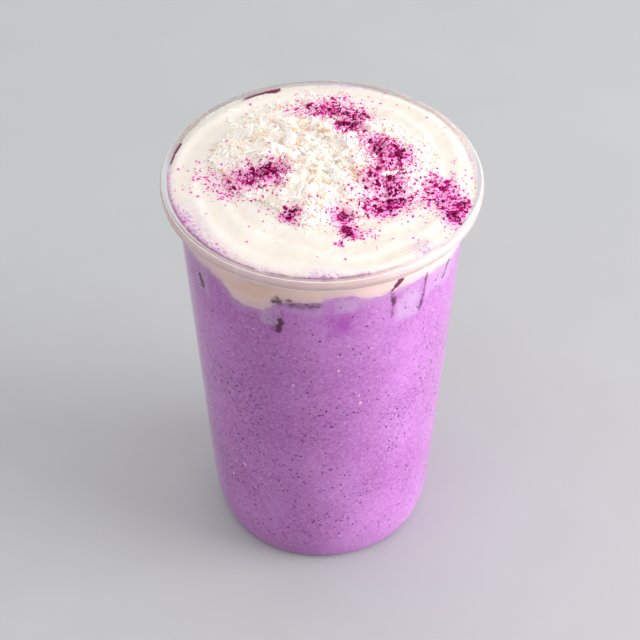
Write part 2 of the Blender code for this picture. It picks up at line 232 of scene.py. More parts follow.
def turned(profile, steps):
    """Rings of points round the axis, one ring for each point of the profile."""
    azimuth = np.linspace(-math.pi, math.pi, steps, endpoint=False)
    radius, height = profile[:, :1], profile[:, 1:]
    return np.stack([radius * np.sin(azimuth), -radius * np.cos(azimuth), height + 0 * azimuth], axis=2)


def mark(mesh, label, values):
    """Keep a value for each point of a mesh, for a material or a scatter to read."""
    stored = mesh.attributes.new(label, "FLOAT", "POINT")
    stored.data.foreach_set("value", values.astype(np.float32))


def skin(name, rings, finish, marks=None):
    """A closed, smooth mesh through rings of points. The first and last ring lie on the axis."""
    count, steps = rings.shape[:2]
    points = np.concatenate([rings[0, :1], rings[1:-1].reshape(-1, 3), rings[-1, :1]])
    here = np.arange(steps) + 1
    after = np.roll(here, -1)
    faces = [(0, a, b) for a, b in zip(here.tolist(), after.tolist())]
    for row in range(count - 3):
        low, high = row * steps, (row + 1) * steps
        faces += np.stack([here + low, here + high, after + high, after + low], axis=1).tolist()
    low, pole = (count - 3) * steps, len(points) - 1
    faces += [(pole, b, a) for a, b in zip((here + low).tolist(), (after + low).tolist())]
    mesh = bpy.data.meshes.new(name)
    mesh.from_pydata(points.tolist(), [], faces)
    shape = bmesh.new()
    shape.from_mesh(mesh)
    bmesh.ops.recalc_face_normals(shape, faces=shape.faces)
    shape.to_mesh(mesh)
    shape.free()
    mesh.shade_smooth()
    mesh.materials.append(finish)
    for label, values_at in (marks or {}).items():
        mark(mesh, label, values_at(points))
    return mesh


def linked(name, data):
    """An object in the scene."""
    made = bpy.data.objects.new(name, data)
    bpy.context.scene.collection.objects.link(made)
    return made


def shown(name, mesh, slot, *nodes):
    """The finished piece: it rides on the drink's one body, and may stand for solids of the model."""
    piece = linked(name, mesh)
    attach(piece, "root")
    if nodes:
        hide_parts(*nodes)


def plastic(name, clearness, roughness, index):
    """PET with a faint uneven haze. Lamps reach what is behind it."""
    finish = Finish(name)
    haze = roughness + 0.04 * finish.clouds(9 * MM)
    sheet = finish.principled(
        Base_Color=rgb(250, 251, 253), Roughness=haze, IOR=index, Transmission_Weight=clearness
    )
    through = finish.node("ShaderNodeBsdfTransparent", {}, {"Color": rgb(246, 247, 249)})
    lamp_ray = finish.node("ShaderNodeLightPath", {}, {}, "Is Shadow Ray")
    return finish.done(finish.node("ShaderNodeMixShader", {}, {0: lamp_ray, 1: sheet, 2: through}))


outside = wall_outside()
inside = moved_in(outside, SHEET)
roll = arc(CURL_CENTRE, CURL_RADIUS, CURL_RADIUS, 180.0, 0.0, ROLL_POINTS)
lip_centre = (RIM_RADIUS - COLLAR_TAPER - COLLAR_LIP, COLLAR_BOTTOM + COLLAR_LIP)
lip = arc(lip_centre, COLLAR_LIP, COLLAR_LIP, 0.0, -90.0, LIP_POINTS)
below_collar = outside[outside[:, 1] < COLLAR_BOTTOM]
cup_line = np.concatenate([inside, roll, lip, below_collar[::-1]])
cup_mesh = skin("clear_cup", turned(cup_line, CUP_STEPS), plastic("clear_plastic", 1.0, 0.02, 1.33))
cup_mesh.materials.append(plastic("rolled_rim", 0.8, 0.08, 1.5))
# less clear, whiter plastic: painted highlight lines on the curl's top and the collar's lower edge
cup_mesh.materials.append(plastic("highlight_line_plastic", 0.35, 0.2, 1.45))
for face in cup_mesh.polygons:
    height, radius = face.center.z, face.center.xy.length
    outwards = (radius - CURL_CENTRE[0]) / CURL_RADIUS
    at_edge = height > CURL_CENTRE[1] and EDGE_HIGHLIGHT[0] < outwards < EDGE_HIGHLIGHT[1]
    at_lip = height < lip_centre[1] and radius > lip_centre[0] - COLLAR_LIP
    if at_edge or at_lip:
        face.material_index = HIGHLIGHT_LOOK
    elif height > NECK_TOP:
        face.material_index = CURL_LOOK
shown("clear_cup", cup_mesh, "clear_plastic", "cup")


# The taro milk: cloudy, purple, shaken with ice. Its top is a ragged line where foam has sunk into
# it. Cubes float under the foam: where an edge of one touches the wall, painted shade stands for
# the dark one sees in the ice, and where a face comes near, only a pale film of milk lies over it.
WALL_REACH = 0.25 * MM  # what fills the cup reaches this far into the sheet, so that no air shows
INSIDE_POINTS = 52  # points of the inside profile from the straight wall up
INNER_ROLL_POINTS = 10  # points of the curl from its foot nearly to its top
INNER_LINE = np.concatenate([inside[-INSIDE_POINTS:], roll[:INNER_ROLL_POINTS]])
ICE_SHADE_STREAKS = (  # painted shade at edges of ice: azimuth and depth in mm of both ends, half width in mm, darkness
    (-58.0, 17.8, -56.8, 21.4, 1.15, 1.1),
    (-57.4, 21.0, -56.2, 23.4, 0.8, 0.5),
    (-18.6, 12.8, -16.6, 12.5, 1.35, 0.85),
    (-18.0, 12.4, -16.8, 12.9, 2.2, 0.5),
    (-19.6, 22.6, -17.0, 21.4, 2.0, 0.42),
    (-17.5, 11.0, -17.2, 12.6, 0.85, 0.85),
    (-17.8, 24.0, -16.7, 19.8, 0.95, 1.1),
    (-20.6, 20.6, -18.0, 21.8, 1.4, 0.45),
    (-16.2, 16.2, -15.6, 19.0, 0.7, 0.5),
    (-13.0, 12.9, -1.6, 13.0, 1.5, 0.62),
    (-13.0, 12.8, -1.6, 13.0, 0.5, 0.75),
    (-13.4, 11.3, -12.4, 11.6, 0.7, 0.8),
    (-6.6, 12.3, -5.0, 12.6, 0.8, 0.8),
    (-2.4, 12.0, -1.2, 13.6, 0.7, 0.6),
    (28.0, 11.8, 29.2, 15.0, 0.85, 0.7),
    (29.4, 14.4, 29.4, 16.6, 0.8, 0.9),
    (29.4, 16.6, 29.0, 21.4, 0.75, 0.62),
    (45.6, 10.8, 45.2, 13.0, 0.75, 0.75),
    (45.3, 13.0, 44.7, 18.6, 0.5, 0.7),
    (44.7, 18.6, 43.0, 23.8, 0.65, 0.85),
    (61.2, 13.4, 57.4, 18.2, 0.65, 0.9),
    (62.4, 7.5, 62.0, 13.2, 0.5, 0.45),
    (56.8, 18.6, 55.4, 22.6, 0.5, 0.45),
    (64.8, 17.0, 63.4, 24.0, 0.5, 0.42),
    (104.0, 13.0, 101.0, 21.0, 0.45, 0.8),
    (146.0, 18.0, 160.0, 19.0, 0.5, 0.7),
    (-150.0, 15.0, -152.0, 25.0, 0.45, 0.8),
    (-110.0, 17.0, -116.0, 20.0, 0.6, 0.9),
)
ICE_FACES = (  # azimuth, depth, half width and half height in mm, paleness
    (-21.4, 18.8, 3.0, 3.6, 0.75),
    (-57.0, 18.2, 3.8, 5.5, 0.6),
    (-7.0, 14.0, 5.6, 2.4, 0.4),
    (10.9, 13.2, 4.4, 2.6, 0.6),
    (37.0, 18.4, 4.2, 6.4, 0.75),
    (52.0, 16.0, 4.2, 5.0, 0.65),
    (63.0, 15.0, 4.0, 6.0, 0.65),
    (105.0, 20.0, 4.5, 5.0, 0.45),
    (152.0, 23.0, 6.0, 4.0, 0.45),
    (-156.0, 20.0, 4.0, 5.0, 0.4),
)
FACE_REACH = 1.15  # where a film ends and over how much it fades, in shares of its half size
FACE_FADE = 0.4
STREAK_REACH = 4.0  # a streak is ragged within this many half widths, by this share of one
STREAK_RAGS = 0.8
STREAK_LUMPS = 1.3 * MM
DEEP_PATCH = (7.1, 20.1 * MM, 7.5 * MM)  # a deeper purple patch at the wall: azimuth, depth, radius
DEEP_SPOT = (33.5, 13.5 * MM, 3.2 * MM)


def wobble(points, size):
    """Soft noise at each point, about -0.5 to 0.5, with lumps of about this size."""
    return np.array([noise.noise(Vector(point)) for point in (points / size).tolist()])


def inner_radius(height):
    """Radius at which what fills the cup ends, just inside the sheet, above the base's corner."""
    return np.interp(height, INNER_LINE[:, 1], INNER_LINE[:, 0]) + WALL_REACH


def azimuths(points):
    return np.arctan2(points[:, 0], -points[:, 1])


def degrees_past(azimuth, middle):
    """Degrees round the axis from a middle, in degrees, to azimuths in radians."""
    return (np.degrees(azimuth) - middle + 180.0) % 360.0 - 180.0


def unrolled(points, azimuth, depth):
    """Place on the wall, laid flat, from a point on it: sideways and downwards in millimetres."""
    turn = np.radians(degrees_past(azimuths(points), azimuth))
    sideways = turn * np.hypot(points[:, 0], points[:, 1]) / MM
    return sideways, (CUP_HEIGHT - points[:, 2]) / MM - depth


def streak(points, start_azimuth, start_depth, end_azimuth, end_depth, half_width, strength):
    """A soft line along the wall between two places, strongest along its middle."""
    across, down = unrolled(points, start_azimuth, start_depth)
    end_radius = float(inner_radius(CUP_HEIGHT - end_depth * MM))
    end_across = math.radians(end_azimuth - start_azimuth) * end_radius / MM
    end_down = end_depth - start_depth
    along = (across * end_across + down * end_down) / (end_across**2 + end_down**2)
    along = np.clip(along, 0.0, 1.0)
    away = np.hypot(across - along * end_across, down - along * end_down)
    near = away < STREAK_REACH * half_width
    away[near] += STREAK_RAGS * half_width * wobble(points[near], STREAK_LUMPS)
    return strength * np.exp(-((away / half_width) ** 2))


def ice_edge_shade(points):
    """How much painted shade the edges of ice put at each point of the wall."""
    return np.max([streak(points, *edge) for edge in ICE_SHADE_STREAKS], axis=0)


def ice_faces(points):
    """How pale a film of milk over ice is at each point of the wall."""
    pale = 0.0
    for azimuth, depth, half_width, half_height, strength in ICE_FACES:
        across, down = unrolled(points, azimuth, depth)
        away = np.maximum(np.abs(across) / half_width, np.abs(down) / half_height)
        pale = np.maximum(pale, strength * smooth((FACE_REACH - away) / FACE_FADE))
    return pale


LAYER_HEIGHT = CUP_HEIGHT - 11.9 * MM
LAYER_DIPS = (  # azimuth in degrees, half width in degrees, depth
    (-30.0, 11.5, 5.2 * MM),
    (7.0, 8.0, -2.2 * MM),
    (68.0, 10.0, 1.8 * MM),
    (135.0, 16.0, 4.2 * MM),
    (-140.0, 13.0, 3.0 * MM),
)
LAYER_RIPPLE = 0.4 * MM
LAYER_RAGS = 0.9 * MM
DRINK_STEPS = 512
WALL_ROWS_BELOW = 44  # rows of the milk's wall up to the ice, and then closer ones up to the foam
WALL_ROWS_ABOVE = 56
ICE_ZONE = CUP_HEIGHT - 32.0 * MM
BASE_TOP = CORNER_HEIGHT - 2 * MM  # the milk's rows are the profile's own points up to here
LAYER_SHARES = (0.0, 0.3, 0.6, 0.85, 0.97)  # rings of the surface between milk and foam


def layer_height(azimuth):
    """Height of the line between milk and foam at the wall: level, with dips where foam has sunk."""
    height = LAYER_HEIGHT + LAYER_RIPPLE * (np.sin(3 * azimuth + 0.6) + 0.5 * np.sin(11 * azimuth))
    for middle, half_width, depth in LAYER_DIPS:
        height -= depth * np.exp(-((degrees_past(azimuth, middle) / half_width) ** 4))
    ring = np.stack([np.sin(azimuth), np.cos(azimuth), 0 * azimuth], axis=1)
    return height + LAYER_RAGS * (wobble(ring, 0.12) + 0.5 * wobble(ring, 0.035))


AROUND = np.linspace(-math.pi, math.pi, DRINK_STEPS, endpoint=False)
LAYER_LINE = layer_height(AROUND)


def ring_at(radius, height):
    """A ring of points; radius and height may differ round it."""
    return np.stack([radius * np.sin(AROUND), -radius * np.cos(AROUND), height + 0 * AROUND], axis=1)


def layer_ring(share, lift=0.0):
    """A ring on the surface between milk and foam, inside the cup."""
    edge = inner_radius(LAYER_LINE + lift)
    height = LAYER_HEIGHT + (LAYER_LINE - LAYER_HEIGHT) * share * share
    return ring_at(edge * share, height + lift)


def above_layer(points):
    """Height above the line between milk and foam, in millimetres."""
    line = np.interp(azimuths(points), np.append(AROUND, math.pi), np.append(LAYER_LINE, LAYER_LINE[0]))
    return (points[:, 2] - line) / MM


def bubble_share(points):
    """Where bubbles cling to the wall: most of them low and in the middle, none under the base."""
    height = points[:, 2] / CUP_HEIGHT
    patches = 0.6 + 1.2 * wobble(points, 14 * MM)
    off_base = smooth((height - 0.04) / 0.06)
    high = smooth((height - 0.55) / 0.3)
    return np.clip(patches, 0.1, 1.5) * off_base * (1.0 - 0.75 * high)


def on_wall(azimuth, depth):
    """The point on what fills the cup at this azimuth in degrees and depth below the rim."""
    height = CUP_HEIGHT - depth
    radius = float(inner_radius(height))
    turn = math.radians(azimuth)
    return (radius * math.sin(turn), -radius * math.cos(turn), height)


def taro_milk_finish():
    """Purple milk with froth: mottled, with pin-prick bubbles, pale films of milk over the ice."""
    finish = Finish("taro_milk")
    drift = finish.clouds(22 * MM, 2.0).rise(0.3, 0.7)
    froth = finish.clouds(1.1 * MM, 3.0, 0.7).rise(0.35, 0.7)
    colour = finish.blend(drift, rgb(187, 108, 188), rgb(204, 132, 207))
    colour = finish.blend(froth * 0.4, colour, rgb(230, 180, 231))
    grit = finish.clouds(0.8 * MM, 2.0, 0.7).rise(0.46, 0.3)
    colour = finish.blend(grit * 0.4, colour, rgb(150, 74, 154))
    flecks = finish.cells(1.5 * MM).rise(0.2, 0.1) * finish.clouds(5 * MM).rise(0.35, 0.6)
    colour = finish.blend(flecks * 0.6, colour, rgb(240, 200, 238))
    deep = finish.near(on_wall(*DEEP_PATCH[:2]), DEEP_PATCH[2]) * finish.clouds(5 * MM).rise(0.25, 0.6)
    deep = deep + finish.near(on_wall(*DEEP_SPOT[:2]), DEEP_SPOT[2])
    colour = finish.blend(deep * 0.75, colour, rgb(178, 60, 182))
    film = finish.mask("ice_faces") * finish.clouds(4 * MM, 3.0).rise(0.25, 0.6)
    colour = finish.blend(film * 0.85, colour, rgb(210, 182, 214))
    above = finish.mask("above") + 4.5 * (finish.clouds(2.5 * MM, 4.0, 0.7) - 0.5)
    colour = finish.blend(above.rise(-5.0, -0.5) * 0.35, colour, rgb(206, 160, 206))
    colour = finish.blend(above.rise(-1.4, 0.8) * 0.8, colour, rgb(230, 192, 212))
    # painted shade: dark streaks where the edges of ice touch the wall
    colour = finish.with_ice_shade(colour)
    bumps = finish.bump(finish.clouds(0.8 * MM, 2.0), 0.04 * MM)
    return finish.done(
        finish.principled(
            Base_Color=colour,
            Roughness=0.42 + 0.15 * froth,
            Normal=bumps,
            Specular_IOR_Level=0.3,
            Subsurface_Weight=0.2,
            Subsurface_Radius=(1.0, 0.5, 1.0),
            Subsurface_Scale=2.5 * MM,
        )
    )


below = moved_in(outside, SHEET - WALL_REACH)
below = below[below[:, 1] < BASE_TOP]
lower = np.linspace(float(below[-1, 1]), ICE_ZONE, WALL_ROWS_BELOW)[1:]
milk_rings = [ring_at(radius, height) for radius, height in below]
milk_rings += [ring_at(inner_radius(height), height) for height in lower]
for share in np.linspace(0.0, 1.0, WALL_ROWS_ABOVE)[1:]:
    height = ICE_ZONE + (LAYER_LINE - ICE_ZONE) * share
    milk_rings.append(ring_at(inner_radius(height), height))
milk_rings += [layer_ring(share) for share in reversed(LAYER_SHARES)]
milk_marks = {"ice_faces": ice_faces, "ice": ice_edge_shade, "above": above_layer, "bubbles": bubble_share}
milk_mesh = skin("taro_milk", np.array(milk_rings), taro_milk_finish(), milk_marks)
shown("taro_milk_drink", milk_mesh, "taro_milk", "taro_milk")


# Bubbles on the wall: most are dark pin-heads, painted shade where one looks through them into the
# milk, and some larger ones low in the cup are painted pale with the highlights they catch.
BUBBLES = (  # kind, smallest, largest, density, seed, darkest and lightest colour, roughness
    ("dark", 0.36 * MM, 0.9 * MM, 0.34 / MM**2, 3, rgb(84, 14, 86), rgb(130, 52, 134), 0.3),
    ("bright", 0.4 * MM, 1.5 * MM, 0.016 / MM**2, 8, rgb(226, 176, 214), rgb(250, 222, 236), 0.15),
)


def kept(name, shape):
    """A mesh with what was shaped in a bmesh."""
    mesh = bpy.data.meshes.new(name)
    shape.to_mesh(mesh)
    shape.free()
    return mesh


def lump(name, stretch, rough, seed, detail=1):
    """A small uneven lump, as long along its axes as the stretch says. It stays outside the scene."""
    shape = bmesh.new()
    bmesh.ops.create_icosphere(shape, subdivisions=detail, radius=0.5)
    for vertex in shape.verts:
        uneven = 1.0 + rough * noise.noise(vertex.co * 2.6 + Vector((seed, 0.0, 0.0)))
        vertex.co = Vector([c * s * uneven for c, s in zip(vertex.co, stretch)])
    return bpy.data.objects.new(name, kept(name, shape))


def shapes(name, objects):
    """A collection, outside the scene, of the shapes that a scatter picks from."""
    choice = bpy.data.collections.new(name)
    for shape in objects:
        choice.objects.link(shape)
    return choice


def scatter_tree():
    """Geometry nodes that put a random shape at random points of a surface, thickest where a mask says."""
    tree = bpy.data.node_groups.new("scatter", "GeometryNodeTree")
    sockets = (
        ("Surface", "Geometry"), ("Shapes", "Collection"), ("Mask", "String"), ("Density", "Float"),
        ("Facing", "Float"), ("Smallest", "Float"), ("Largest", "Float"), ("Evenness", "Float"),
        ("Sink", "Float"), ("Tilt", "Float"), ("Seed", "Int"), ("Material", "Material"),
    )
    for name, kind in sockets:
        tree.interface.new_socket(name=name, in_out="INPUT", socket_type="NodeSocket" + kind)
    tree.interface.new_socket(name="Pieces", in_out="OUTPUT", socket_type="NodeSocketGeometry")
    maker = Maker(tree)
    start = tree.nodes.new("NodeGroupInput")
    given = {name: Wire(maker, start.outputs[name]) for name, kind in sockets}

    def draw(low, high, step, kind="FLOAT"):
        """A random value for each point, from its own stream. The places are the kind's sockets."""
        places = {"FLOAT": (2, 3, 1), "FLOAT_VECTOR": (0, 1, 0), "INT": (4, 5, 2)}[kind]
        inputs = {places[0]: low, places[1]: high, 8: given["Seed"] + step}
        return maker.node("FunctionNodeRandomValue", {"data_type": kind}, inputs, places[2])

    normal = maker.node("GeometryNodeInputNormal")
    upward = maker.node("ShaderNodeSeparateXYZ", {}, {0: normal}, 2)
    mask = maker.node("GeometryNodeInputNamedAttribute", {"data_type": "FLOAT"}, {"Name": given["Mask"]})
    thick = given["Density"] * mask * upward.math("GREATER_THAN", given["Facing"])
    strew = tree.nodes.new("GeometryNodeDistributePointsOnFaces")
    for socket, wire in (("Mesh", given["Surface"]), ("Density", thick), ("Seed", given["Seed"])):
        tree.links.new(wire.socket, strew.inputs[socket])
    points, out, facing = (Wire(maker, strew.outputs[name]) for name in ("Points", "Normal", "Rotation"))
    share = draw(0.0, 1.0, 1).math("POWER", given["Evenness"])
    size = given["Smallest"] + (given["Largest"] - given["Smallest"]) * share
    sideways = given["Tilt"] * draw(-1.0, 1.0, 2)
    forwards = given["Tilt"] * draw(-1.0, 1.0, 3)
    lean = maker.node("ShaderNodeCombineXYZ", {}, {0: sideways, 1: forwards, 2: draw(0.0, math.tau, 4)})
    lean = maker.node("FunctionNodeEulerToRotation", {}, {0: lean})
    turn = maker.node("FunctionNodeRotateRotation", {"rotation_space": "LOCAL"}, {0: facing, 1: lean})
    inwards = {0: out, "Scale": size * given["Sink"] * -1.0}
    slip = maker.node("ShaderNodeVectorMath", {"operation": "SCALE"}, inwards)
    points = maker.node("GeometryNodeSetPosition", {}, {"Geometry": points, "Offset": slip})
    choice = {0: given["Shapes"], "Separate Children": True, "Reset Children": True}
    picked = maker.node("GeometryNodeCollectionInfo", {}, choice)
    spread = draw((0.75, 0.75, 0.75), (1.15, 1.15, 1.15), 5, "FLOAT_VECTOR")
    scale = maker.node("ShaderNodeVectorMath", {"operation": "SCALE"}, {0: spread, "Scale": size})
    placing = {
        "Points": points, "Instance": picked, "Pick Instance": True,
        "Instance Index": draw(0, 99, 6, "INT"), "Rotation": turn, "Scale": scale,
    }
    pieces = maker.node("GeometryNodeInstanceOnPoints", {}, placing)
    tone = {"Geometry": pieces, "Name": "tone", "Value": draw(0.0, 1.0, 7)}
    pieces = maker.node("GeometryNodeStoreNamedAttribute", {"data_type": "FLOAT", "domain": "INSTANCE"}, tone)
    pieces = maker.node("GeometryNodeRealizeInstances", {}, {0: pieces})
    pieces = maker.node("GeometryNodeSetMaterial", {}, {0: pieces, "Material": given["Material"]})
    end = tree.nodes.new("NodeGroupOutput")
    tree.links.new(pieces.socket, end.inputs[0])
    return tree


SCATTER = scatter_tree()


def scattered(name, surface, settings):
    """A mesh of shapes scattered over a surface, with the scatter tree's named inputs as given."""
    carrier = linked(name, surface.copy())
    modifier = carrier.modifiers.new("scatter", "NODES")
    modifier.node_group = SCATTER
    for item in SCATTER.interface.items_tree:
        if item.name in settings:
            modifier[item.identifier] = settings[item.name]
    graph = bpy.context.evaluated_depsgraph_get()
    mesh = bpy.data.meshes.new_from_object(carrier.evaluated_get(graph), depsgraph=graph)
    bpy.data.objects.remove(carrier)
    mesh.name = name
    return mesh


def bubble_finish(name, dark, light, roughness):
    """A bubble's wet skin, between two colours by its own random tone: painted shade on the dark bubbles,
    painted highlight on the bright ones.
    """
    finish = Finish(name)
    tone = finish.mask("tone")
    colour = finish.blend(tone, dark, light)
    return finish.done(finish.principled(Base_Color=colour, Roughness=roughness + 0.1 * tone))


beads = shapes("bead shapes", [lump("bead", (1.0, 1.0, 0.4), 0.3, 1.0)])
for kind, smallest, largest, density, seed, dark, light, roughness in BUBBLES:
    bubble_settings = {
        "Shapes": beads, "Mask": "bubbles", "Facing": -2.0, "Evenness": 2.4, "Sink": 0.02, "Tilt": 0.0,
        "Density": density, "Smallest": smallest, "Largest": largest, "Seed": seed,
        "Material": bubble_finish(f"{kind}_bubble", dark, light, roughness),
    }
    shown(f"{kind}_bubbles", scattered(f"{kind}_bubbles", milk_mesh, bubble_settings), "taro_milk")


# The milk foam: spooned in until it stands level with the rim, its skin still in the ridges of the
# spoon. It hides under the coconut, and taro has stained it along the rim.
FOAM_EDGE = RIM_RADIUS - 2.0 * CURL_RADIUS
FOAM_EDGE_DROP = 0.5 * MM
FOAM_CROWN = 1.2 * MM
FOAM_EDGE_WIDTH = 2.2 * MM
FOAM_OVERLAP = 0.3 * MM  # foam hangs this far over the milk's edge at the wall
FOAM_PROUD = 0.01 * MM  # foam stands this far outside the milk where it hangs over it
FOAM_WAVES = ((0.35 * MM, 9.0 * MM), (0.12 * MM, 2.5 * MM))  # height and width of its unevenness
SWIRL_ARMS = 3
SWIRL_SPACING = 6.7 * MM
SWIRL_DEPTH = 0.3 * MM
SWIRL_WANDER = 1.6 * MM
SWIRL_BEND = 17.0 * MM
FOAM_SIDE_ROWS = 40
FOAM_TOP_ROWS = 112
HEAP_RADIUS = 25.5 * MM
HEAP_WAVES = (4.0 * MM, 3.0 * MM, -2.0 * MM)
HEAP_UNEVEN = 4.5 * MM
HEAP_TONGUES = 2.4  # more of them round the outline as this grows
HEAP_MARGIN = 4.0 * MM
EDGE_STAINS = (  # azimuth, half width in degrees, reach inwards in mm, strength
    (-63.0, 12.0, 4.0, 1.1),
    (-44.0, 12.0, 2.6, 0.95),
    (-20.0, 10.0, 1.3, 0.8),
    (0.0, 8.0, 2.8, 0.9),
    (15.0, 8.0, 1.2, 0.7),
    (42.0, 5.0, 5.0, 0.8),
    (-88.0, 12.0, 1.0, 0.8),
    (100.0, 14.0, 1.2, 0.5),
    (170.0, 10.0, 1.6, 0.6),
)
RIM_SMEARS = (  # the same four values
    (-161.0, 3.0, 2.1, 1.2), (-153.0, 5.5, 0.7, 1.2), (-109.0, 3.6, 0.5, 1.2), (-102.0, 4.0, 0.3, 1.2),
)
SEAM_SHADE = (-30.0, 60.0, 0.5, 1.0)  # a dark line of painted shade where the foam meets the rim, of the same four values
STAIN_DEPTH = 2.0 * MM  # how far below the rim's height each mark still lies on the foam's skin
SEAM_DEPTH = 1.6 * MM
DUST_DEPTH = 1.2 * MM
STRAY_DEPTH = 1.0 * MM
SKIN_DEPTH = 0.9 * MM
SMEAR_DEPTH = 2.0 * MM  # smears fade in from here, over the next height
SMEAR_FADE = 0.7 * MM
NECK_STAIN_AND_SHADE = (-22.0, 55.0, 1.2 * MM, 0.9)  # taro stain and painted shade under the curl: azimuth, half width in degrees, rise to full, strength
WALL_CHIPS = (  # powder pressed on the wall, given as the edges of ice are
    (28.4, 10.8, 30.2, 9.6, 0.45, 1.1),
    (30.0, 9.8, 32.2, 8.1, 0.8, 1.5),
    (0.8, 3.2, 4.4, 3.4, 0.7, 0.5),
)
DUST = (  # x, y, half length, half width in mm, amount
    (-13.0, -4.6, 3.6, 3.0, 1.2), (-19.5, -4.4, 5.0, 3.6, 0.78), (-27.0, -3.0, 6.4, 4.6, 0.3),
    (-34.5, 0.0, 4.6, 3.4, 0.10), (-25.0, -9.6, 3.4, 2.4, 0.22), (-8.5, -18.3, 3.0, 2.0, 1.0),
    (-16.4, -15.7, 1.4, 1.1, 0.3), (4.8, -18.6, 3.2, 2.6, 0.85), (7.3, -24.5, 2.0, 2.3, 1.1),
    (4.9, -29.3, 0.9, 0.8, 0.9), (12.0, -25.3, 3.8, 1.8, 0.34), (15.5, -16.0, 3.8, 2.2, 1.05),
    (20.6, -11.6, 3.2, 2.6, 0.95), (18.8, -5.4, 2.8, 2.7, 1.2), (12.6, -8.6, 3.0, 4.6, 0.72),
    (28.9, -6.8, 5.8, 5.0, 0.36), (34.0, -9.6, 4.4, 4.8, 0.6), (36.1, -17.4, 2.4, 3.0, 1.1),
    (39.2, -11.8, 1.4, 2.0, 0.9), (32.6, -2.2, 3.8, 2.2, 0.4), (22.6, 4.2, 3.2, 3.4, 0.95),
    (17.6, 1.4, 3.4, 4.4, 0.62), (13.6, 7.4, 3.8, 4.0, 0.8), (18.2, 11.4, 3.4, 3.4, 0.36),
    (6.6, 16.4, 3.6, 2.6, 1.2), (10.6, 23.0, 3.6, 4.4, 0.8), (3.8, 28.4, 6.0, 4.4, 0.72),
    (-3.0, 28.4, 5.0, 4.2, 0.4), (2.5, 34.8, 7.0, 2.6, 0.18), (37.0, 6.9, 0.5, 0.6, 0.8),
)
DUST_FALL = 0.6
DUST_EVERYWHERE = 0.004
DUST_MOST = 1.4
CLUMP_START = 0.3  # the amount of dust at which clumps start
CLUMP_POWER = 1.5


def noise_at(x, y, z, size):
    return wobble(np.stack([x, y, z + 0 * x], axis=1), size)


def heap_outline(azimuth):
    """Radius of the coconut heap's ragged outline, widest to both sides at the rear."""
    ring = HEAP_TONGUES * np.stack([np.sin(azimuth), -np.cos(azimuth), 0 * azimuth], axis=1)
    radius = HEAP_RADIUS + HEAP_UNEVEN * wobble(ring, 1.0)
    for turns, wave in enumerate(HEAP_WAVES, start=1):
        radius = radius - wave * np.cos(turns * azimuth)
    return radius


def swirl(x, y):
    """1 on the ridges that the spoon left, 0 in the valleys between them."""
    wander = SWIRL_WANDER * noise_at(x, y, 0.0, SWIRL_BEND)
    turns = (np.hypot(x, y) + wander) / SWIRL_SPACING - SWIRL_ARMS * np.arctan2(x, -y) / math.tau
    return 0.5 + 0.5 * np.cos(math.tau * turns)


def open_foam(x, y):
    """0 under the heap, 1 from a little way outside its outline."""
    return smooth((np.hypot(x, y) - heap_outline(np.arctan2(x, -y))) / HEAP_MARGIN)


def foam_top(x, y):
    """Height of the foam's skin: a low crown with spiral ridges, pressed smooth under the heap."""
    radius = np.hypot(x, y)
    ridge = swirl(x, y)
    height = CUP_HEIGHT + FOAM_CROWN * (1.0 - (radius / FOAM_EDGE) ** 2)
    height = height - SWIRL_DEPTH * (1.0 - ridge * ridge) * open_foam(x, y)
    for rise, width in FOAM_WAVES:
        height = height + rise * noise_at(x, y, 0.0, width)
    return height - FOAM_EDGE_DROP * (1.0 - smooth((FOAM_EDGE - radius) / FOAM_EDGE_WIDTH))


def near_top(points, depth):
    """Whether each point lies less than this depth below the rim's height."""
    return points[:, 2] > CUP_HEIGHT - depth


def dust_amount(points):
    """How thickly yam powder lies at each point of the drink's top."""
    x, y = points[:, 0] / MM, points[:, 1] / MM
    amount = np.full(len(points), DUST_EVERYWHERE)
    for middle_x, middle_y, half_x, half_y, most in DUST:
        away = ((x - middle_x) / half_x) ** 2 + ((y - middle_y) / half_y) ** 2
        amount += most * np.exp(-DUST_FALL * away)
    return np.clip(amount, 0.0, DUST_MOST) * near_top(points, DUST_DEPTH)


def clump_amount(points):
    """Clumps lie only at the middles of the drifts."""
    return np.clip(dust_amount(points) - CLUMP_START, 0.0, 1.0) ** CLUMP_POWER


def blot(points, middle, half_width, reach, strength, power=2):
    """A soft mark at the foam's edge, fading to both sides and inwards."""
    around = np.exp(-((degrees_past(azimuths(points), middle) / half_width) ** power))
    inwards = (FOAM_EDGE - np.hypot(points[:, 0], points[:, 1])) / MM
    return strength * around * np.exp(-((inwards / reach) ** 2))


def edge_stain(points):
    """How much taro has stained the foam along the rim."""
    return sum(blot(points, *stain) for stain in EDGE_STAINS) * near_top(points, STAIN_DEPTH)


def rim_smear(points):
    """Dark powder caught between the foam and the rim."""
    high = smooth((points[:, 2] - CUP_HEIGHT + SMEAR_DEPTH) / SMEAR_FADE)
    caught = sum(blot(points, *smear) for smear in RIM_SMEARS) * high
    return np.max([caught] + [streak(points, *chip) for chip in WALL_CHIPS], axis=0)


def rim_seam_shade(points):
    """Painted shade along the line at which the foam's skin meets the front of the cup."""
    return blot(points, *SEAM_SHADE, power=4) * near_top(points, SEAM_DEPTH)


def neck_stain_and_shade(points):
    """How much taro stain, with painted shade under the curl, lies on the foam in the cup's neck, at the
    front.
    """
    middle, half_width, reach, strength = NECK_STAIN_AND_SHADE
    around = np.exp(-((degrees_past(azimuths(points), middle) / half_width) ** 4))
    return strength * around * smooth((points[:, 2] - NECK_BOTTOM) / reach)


def valley_shade(points):
    """1 in the valleys between the foam's ridges, outside the heap: where warm shade is painted."""
    x, y = points[:, 0], points[:, 1]
    return (1.0 - swirl(x, y)) ** 2 * open_foam(x, y)


def at_wall(points):
    """1 on the foam's side against the cup, 0 on its skin."""
    return (points[:, 2] < CUP_HEIGHT - SKIN_DEPTH).astype(float)


